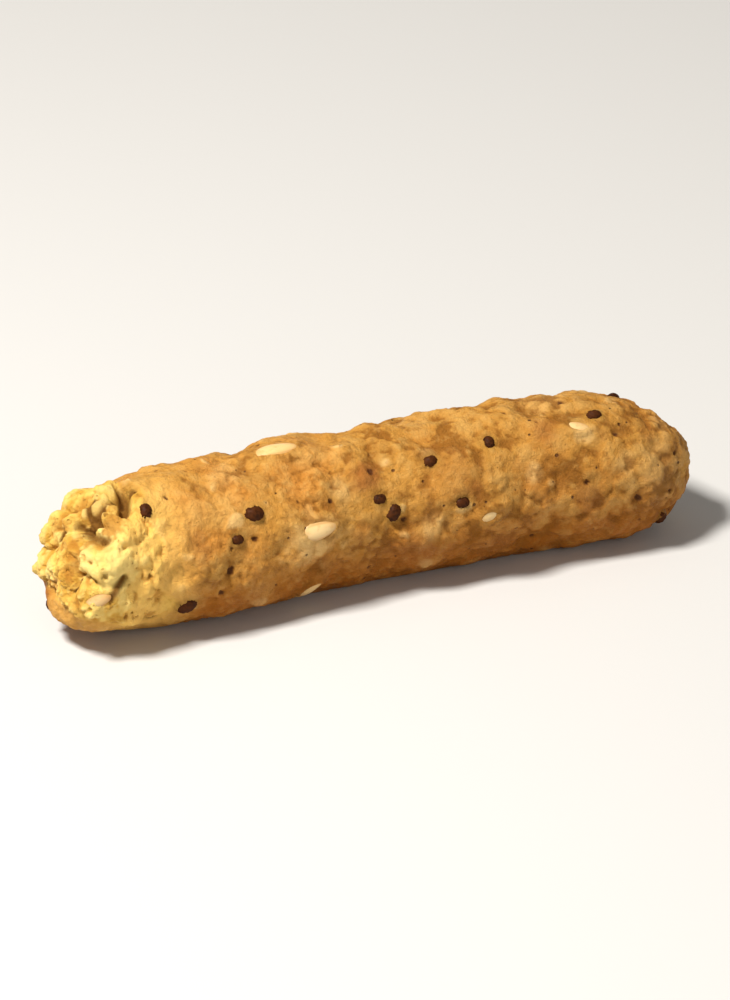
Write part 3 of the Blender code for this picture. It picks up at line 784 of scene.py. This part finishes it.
def spot_share(points, spots, draw):
    """1 in the middle of each of these places, times its strength, fading out with a ragged edge. The
    points are those of the smooth baton."""
    share = np.zeros(len(points))
    ragged = 1 + 0.45 * grain(points, 1.1 * MM, draw) + 0.25 * grain(points, 0.45 * MM, draw + 1)
    for x, around, radius, strength in spots:
        middle = spot_point(along_at(x * MM), radians(around))
        distance = np.linalg.norm(points - middle, axis=1) * ragged / (radius * MM)
        share = np.maximum(share, strength * (1 - smooth_step(distance, SPOT_CORE, SPOT_EDGE)))
    return share


# Heights of the grain between which a point goes from a hollow to a crest.
SKIN_HOLLOW = -0.13 * MM
SKIN_CREST = 0.06 * MM
CRUMB_HOLLOW = -0.16 * MM
CRUMB_CREST = 0.20 * MM

FLOURY_LIFT = 0.06 * MM  # how far floury places stand up
# The clefts' dark brown is painted shade, darkest at this depth.
CLEFT_DARKEST = 1.0 * MM  # depth at which a cleft is at its darkest
GRAIN_FADES = (0.80, 0.96)  # between these shares of the way down from the axis
PALEST = 0.8
PALE_RUN = 3.6 * MM  # from the crust's broken edge to where it is as brown as the rest
PALE_ON_TIP = 0.5  # against the crust's broken edge


def pale_share(smooth, along, around):
    """How pale the stick is towards the torn end: most on its front, less at the tip and underneath."""
    from_tip = smooth[:, 0] + LENGTH / 2
    rim = 1 - smooth_step(from_tip, TORN_REACH, TORN_REACH + PALE_RUN)
    rim = rim * (PALE_ON_TIP + (1 - PALE_ON_TIP) * smooth_step(from_tip, 1.5 * MM, 3.5 * MM))
    front = smooth_step(np.sin(around), -0.4, 0.6)
    return PALEST * rim * front * (1 - 0.5 * underside(along, around))


def make_crust():
    """The crust's grid of points with all its relief, flat at z = 0 where it lies, and the numbers that
    its material reads at each point."""
    share = np.linspace(0, 1, ROWS)
    along = share * (1 - TORN_FINER * (1 - share))
    around = np.arange(COLUMNS) * (2 * pi / COLUMNS)
    along, around = (grid.ravel() for grid in np.meshgrid(along, around, indexing="ij"))
    smooth, _ = smooth_baton(along, around)
    points, directions = crust_at(along, around)
    torn = torn_share(smooth, around)
    whole = 1 - torn
    skin, pits, blisters = skin_relief(points)
    crumb, bubbles = crumb_relief(points)
    floury = spot_share(smooth, FLOURY_SPOTS, 97) * whole
    fades = underside(along, around, *GRAIN_FADES)
    raised = (skin * whole + crumb * torn) * (1 - fades) + FLOURY_LIFT * floury
    grained = points + directions * raised[:, None]
    lift, beside_sesame = sesame_cover(grained, directions)
    seat, beside_poppy = poppy_seat(grained, directions)
    skin_crest = straight_step(skin, SKIN_HOLLOW, SKIN_CREST)
    crumb_crest = straight_step(crumb, CRUMB_HOLLOW, CRUMB_CREST)
    # How deep the clefts and the hollows between lobes are, which sets their painted shade.
    deep = np.maximum(clefts(smooth) / CLEFT_DARKEST, smooth_step(-lobes(smooth), 0.25 * MM, 0.6 * MM))
    toasted = spot_share(smooth, TOASTED_SPOTS, 95) * whole
    values = {
        "torn": torn,
        "crest": skin_crest * whole + crumb_crest * torn,
        # pitted sets the painted shade in the pits and bubbles.
        "pitted": np.maximum(pits * whole, bubbles * torn) * (1 - beside_sesame),
        # cleft sets the painted shade in the clefts and between the lobes.
        "cleft": deep * torn,
        "blister": blisters * whole,
        # On the crumb, toasted carries painted shade and floury carries painted light.
        "toasted": toasted + spot_share(smooth, CRUMB_SHADE_SPOTS, 101) * torn,
        "floury": floury + spot_share(smooth, CRUMB_LIT_SPOTS, 99) * torn,
        "pale": pale_share(smooth, along, around),
        # Sets the painted shade round the seeds.
        "seed_shade": np.maximum(beside_poppy, 0.35 * beside_sesame),
    }
    points = points + directions * (raised + lift + seat)[:, None]
    points[:, 2] = np.maximum(points[:, 2], 0)
    crust = closed_mesh("crust", points.reshape(1, ROWS, COLUMNS, 3))
    for name, value in values.items():
        point_attribute(crust, name, value.reshape(1, ROWS, COLUMNS))
    return crust


crust = make_crust()
crust.data.materials.append(crust_material())
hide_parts("sesame_stick")
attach(crust, "root")


# The sesame seeds. A hulled sesame seed is a flat teardrop about 3 mm long, cream-coloured and
# slightly glossy, with a shallow groove round each face, and frying toasts its point and edges.
SESAME_ROWS = 34
SESAME_COLUMNS = 28
SESAME_TAPER = 0.30  # how much narrower the point is, against the seed's half sizes as the rest here
SESAME_BLUNT = 0.92  # 1 would be an ellipse, and less is blunter
SESAME_WIDER = 1.04
SESAME_BEND = 0.08  # how far its tips bend to one side, at most
SESAME_GROOVE = 0.12  # its depth, its place across the face and its half width
SESAME_GROOVE_AT = 0.80
SESAME_GROOVE_HALF = 0.08
SESAME_TONES = 34  # draw of how light each seed is
SESAME_CREAM = (0.76, 0.50, 0.20)
SESAME_PALE = (0.89, 0.65, 0.31)
# Toasting, and painted shade in the groove and low on the sides.
SESAME_TOAST_AND_SHADE = (0.52, 0.25, 0.06)


def seeds_mesh(name, seats, size, rows, columns, shape, tones):
    """All the seeds of a kind as one mesh of closed shells. shape turns the angle from one tip to the
    other and the angle round the seed into a point of a seed whose half sizes are 1, and a number from
    0 in its hollows to 1 on its ridges. tones is the draw of how light each seed is."""
    middles, axes, scales = seats
    tip = np.linspace(0, pi, rows)
    turn = np.arange(columns) * (2 * pi / columns)
    tip, turn = np.meshgrid(tip, turn, indexing="ij")
    shapes = [shape(tip, turn, index) for index in range(len(middles))]
    points = np.stack([points for points, _ in shapes])
    points = points * (np.array(size) / 2) * scales[:, None, None, None]
    grids = np.einsum("srcj,sij->srci", points, axes) + middles[:, None, None]
    seeds = closed_mesh(name, grids)
    tone = np.random.default_rng(tones).random(len(middles))
    point_attribute(seeds, "which", np.broadcast_to(tone[:, None, None], grids.shape[:3]))
    point_attribute(seeds, "lengthwise", np.broadcast_to(-np.cos(tip), grids.shape[:3]))
    point_attribute(seeds, "height", points[..., 2] / (size[2] / 2))
    point_attribute(seeds, "ridge", np.stack([ridge for _, ridge in shapes]))
    return seeds


def sesame_shape(tip, turn, index):
    """A teardrop, bent a little its own way: its half width is about the sine of the way along it, less
    towards its point, and both faces are slightly domed inside a shallow groove."""
    x = -np.cos(tip)
    taper = SESAME_TAPER * (1.1 + 0.2 * np.sin(index * 1.7))
    wide = np.sin(tip) ** SESAME_BLUNT * (1 - taper * (x + 1) / 2)
    y = -np.sin(turn) * wide * SESAME_WIDER + SESAME_BEND * np.sin(2.3 * index) * x**2
    from_groove = (np.abs(np.sin(turn)) - SESAME_GROOVE_AT) / SESAME_GROOVE_HALF
    groove = np.exp(-(from_groove**2)) * np.sin(tip)
    z = np.cos(turn) * wide * (1 - SESAME_GROOVE * groove)
    return np.stack([x, y, z], axis=-1), 1 - groove


def sesame_material():
    """Cream, each seed a little lighter or darker, toasted in clouds and at its point, with painted shade
    in its groove, and low on its sides painted shade together with some toasting."""
    material, tree, place = start_material("sesame_hull")
    cloud = noise(tree, place, 0.35 * MM, 3, 0.6)
    colour = layered(
        tree,
        blend(tree, stored(tree, "which"), SESAME_CREAM, SESAME_PALE),
        (remap(tree, cloud, 0.50, 0.72, 0.0, 0.5), SESAME_TOAST_AND_SHADE),
        (remap(tree, stored(tree, "lengthwise"), 0.6, 1.0, 0.0, 0.6), SESAME_TOAST_AND_SHADE),
        # Painted shade in the groove, then painted shade with some toasting low on the sides.
        (remap(tree, stored(tree, "ridge"), 1.0, 0.0, 0.0, 0.4), SESAME_TOAST_AND_SHADE),
        (remap(tree, stored(tree, "height"), 0.75, 0.1, 0.0, 0.8), SESAME_TOAST_AND_SHADE),
    )
    set_shader(tree, {
        "Base Color": colour,
        "Roughness": remap(tree, cloud, 0.3, 0.7, 0.36, 0.54),
        "Normal": bump(tree, noise(tree, place, 0.10 * MM), 0.015 * MM),
        "Subsurface Weight": 0.15,
        "Subsurface Radius": (1.0, 0.7, 0.4),
        "Subsurface Scale": 0.4 * MM,
    })
    return material


sesame = seeds_mesh(
    "sesame_seeds", sesame_seats, SESAME_SIZE, SESAME_ROWS, SESAME_COLUMNS, sesame_shape, SESAME_TONES
)
sesame.data.materials.append(sesame_material())
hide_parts("sesame_stick")
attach(sesame, "root")


# The poppy seeds. Each is a kidney about 1 mm long with a net of fine ridges, nearly black, and sits
# in a little pit of the crust.
POPPY_ROWS = 30
POPPY_COLUMNS = 30
POPPY_CELL = 0.46  # a cell of the net against the seed's half length
POPPY_NET_STEP = 7.0  # each seed takes its net from a place this much further on
POPPY_RIDGE = 0.08  # height of the net
POPPY_DENT = 0.22
POPPY_DENT_HALF = 0.4
POPPY_BEND = 0.12
POPPY_TONES = 47
POPPY_BLACK = (0.014, 0.004, 0.001)
POPPY_BROWN = (0.080, 0.021, 0.003)


def net_ridges(points, size, draw):
    """1 on the walls between cells round scattered points, 0 inside the cells: the walls are where the
    two nearest points are equally near."""
    scatter = np.random.default_rng(draw).random((*BLOCK, 3))
    nearest = np.full(len(points), np.inf)
    second = np.full(len(points), np.inf)
    for place, drawn in nearby_cells(points, size, scatter):
        distance = np.linalg.norm(place - drawn, axis=1)
        second = np.minimum(second, np.maximum(distance, nearest))
        nearest = np.minimum(nearest, distance)
    return 1 - smooth_step(second - nearest, 0.05, 0.35)


def poppy_shape(tip, turn, index):
    """A kidney: a ball bent sideways with a dent in its middle, and a net of ridges between cells."""
    ball = np.stack([-np.cos(tip), -np.sin(turn) * np.sin(tip), np.cos(turn) * np.sin(tip)], axis=-1)
    ridge = net_ridges(ball.reshape(-1, 3) + POPPY_NET_STEP * index, POPPY_CELL, 81)
    ridge = ridge.reshape(tip.shape)
    ball = ball * (1 - POPPY_RIDGE * (1 - ridge))[..., None]
    dent = POPPY_DENT * np.exp(-((ball[..., 0] / POPPY_DENT_HALF) ** 2))
    ball[..., 1] -= dent * np.clip(ball[..., 1], 0, None) + POPPY_BEND * ball[..., 0] ** 2
    return ball, ridge


def poppy_material():
    """Nearly black and browner on some seeds: painted shade in the net's cells, painted light on its
    ridges.
    """
    material, tree, place = start_material("poppy_hull")
    cloud = noise(tree, place, 0.2 * MM)
    colour = layered(
        tree,
        blend(tree, times(tree, stored(tree, "which"), 0.5), POPPY_BLACK, POPPY_BROWN),
        # Painted light on the net's ridges, over painted shade in its cells.
        (times(tree, stored(tree, "ridge"), 0.6), POPPY_BROWN),
        (remap(tree, cloud, 0.5, 0.7, 0.0, 0.5), POPPY_BROWN),
    )
    roughness = remap(tree, cloud, 0.3, 0.7, 0.50, 0.70)
    set_shader(tree, {"Base Color": colour, "Roughness": roughness, "Specular IOR Level": 0.10})
    return material


poppy = seeds_mesh(
    "poppy_seeds", poppy_seats, POPPY_SIZE, POPPY_ROWS, POPPY_COLUMNS, poppy_shape, POPPY_TONES
)
poppy.data.materials.append(poppy_material())
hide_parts("sesame_stick")
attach(poppy, "root")


# The floor, and the studio: a soft light above, on the torn end's side, a wider and weaker one in front,
# and a camera that looks down at the front of the stick with the torn end nearer.
FLOOR_SIZE = 3.0
FLOOR_COLOUR = (0.60, 0.59, 0.57, 1.0)
FLOOR_ROUGHNESS = 0.7
CAMERA_AZIMUTH = radians(-22.5)
CAMERA_ELEVATION = radians(28)
CAMERA_LENS = 300.0
CAMERA_DISTANCE = 0.4634
CAMERA_AIM = (0.0, 0.0, 4.46 * MM)
CAMERA_NEAREST = 0.01
WORLD_COLOUR = (1.0, 0.965, 0.91, 1.0)
WORLD_STRENGTH = 0.24


def make_floor():
    """A plain pale floor, wide enough to reach the horizon of the low views."""
    bpy.ops.mesh.primitive_plane_add(size=FLOOR_SIZE)
    floor = bpy.context.object
    floor.name = "floor"
    material = bpy.data.materials.new("pale_floor")
    material.use_nodes = True
    set_shader(material.node_tree, {"Base Color": FLOOR_COLOUR, "Roughness": FLOOR_ROUGHNESS})
    floor.data.materials.append(material)


def add_light(name, at, size, power, colour):
    """A square soft light at a point in metres, turned to the stick."""
    light = bpy.data.lights.new(name, "AREA")
    light.size = size
    light.energy = power
    light.color = colour
    obj = bpy.data.objects.new(name, light)
    obj.location = at
    obj.rotation_euler = (-Vector(at)).to_track_quat("-Z", "Y").to_euler()
    bpy.context.scene.collection.objects.link(obj)


def add_camera():
    """The camera, at the angle from which the stick is seen: the way back to it is turned by the azimuth
    from the front and raised by the elevation."""
    level = np.cos(CAMERA_ELEVATION)
    sideways = np.sin(CAMERA_AZIMUTH) * level
    forwards = -np.cos(CAMERA_AZIMUTH) * level
    back = Vector((sideways, forwards, np.sin(CAMERA_ELEVATION)))
    camera = bpy.data.objects.new("camera", bpy.data.cameras.new("camera"))
    camera.data.lens = CAMERA_LENS
    camera.data.clip_start = CAMERA_NEAREST
    camera.location = Vector(CAMERA_AIM) + back * CAMERA_DISTANCE
    camera.rotation_euler = (-back).to_track_quat("-Z", "Y").to_euler()
    bpy.context.scene.collection.objects.link(camera)
    bpy.context.scene.camera = camera


make_floor()
add_light("key", at=(-0.14, -0.02, 0.25), size=0.06, power=1.35, colour=(1.0, 0.97, 0.93))
add_light("front", at=(0.08, -0.32, 0.14), size=0.22, power=0.22, colour=(1.0, 0.98, 0.96))
add_camera()

world = bpy.data.worlds.new("studio")
world.use_nodes = True
world.node_tree.nodes["Background"].inputs["Color"].default_value = WORLD_COLOUR
world.node_tree.nodes["Background"].inputs["Strength"].default_value = WORLD_STRENGTH
bpy.context.scene.world = world
bpy.context.scene.view_settings.view_transform = "Standard"
